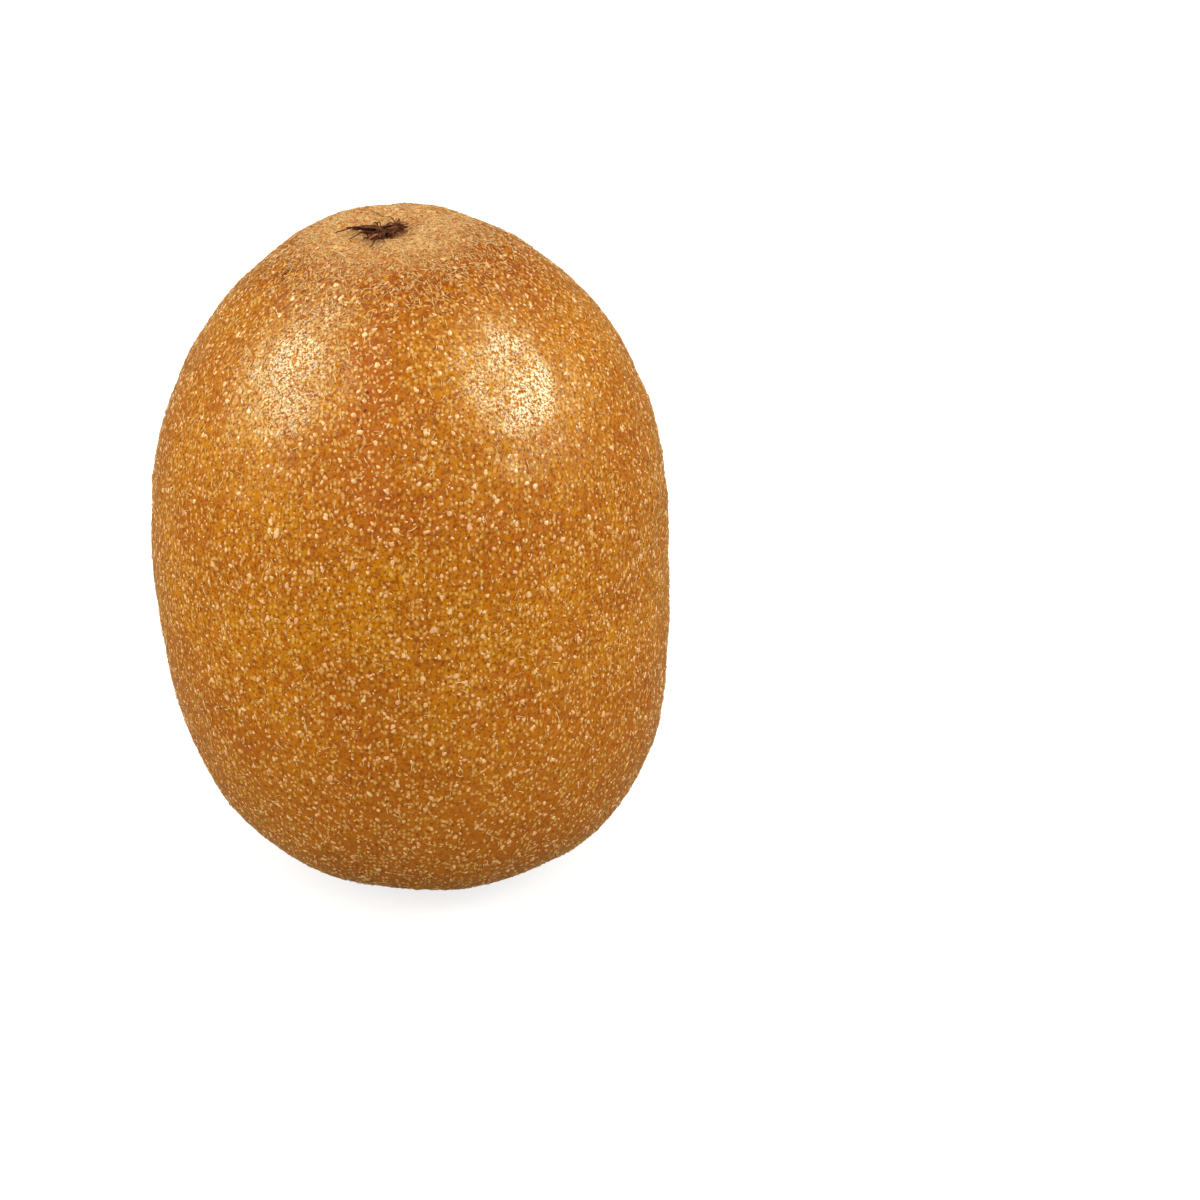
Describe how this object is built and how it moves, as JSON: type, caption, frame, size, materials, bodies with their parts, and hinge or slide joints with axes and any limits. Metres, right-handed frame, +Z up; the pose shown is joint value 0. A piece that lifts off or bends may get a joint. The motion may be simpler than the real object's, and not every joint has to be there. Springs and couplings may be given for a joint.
{
  "type": "golden kiwifruit",
  "caption": "Whole yellow-fleshed kiwifruit with bristly golden-brown skin, standing on its stem end with its withered flower remains in the eye on top.",
  "frame": {"origin": "bottom centre of the fruit's box, on the surface that the fruit stands on", "axes": "+Z up, nearly along the fruit's own length from its stem end to its eye, which leans 4.5 degrees towards -X; +X to the viewer's right and -Y towards the viewer"},
  "size_m": [0.0524, 0.0518, 0.0691],
  "materials": {
    "skin": "satin",
    "dried_flower": "matte"
  },
  "bodies": {
    "root": {"fruit": "skin", "dried_styles": "dried_flower"}
  },
  "joints": []
}
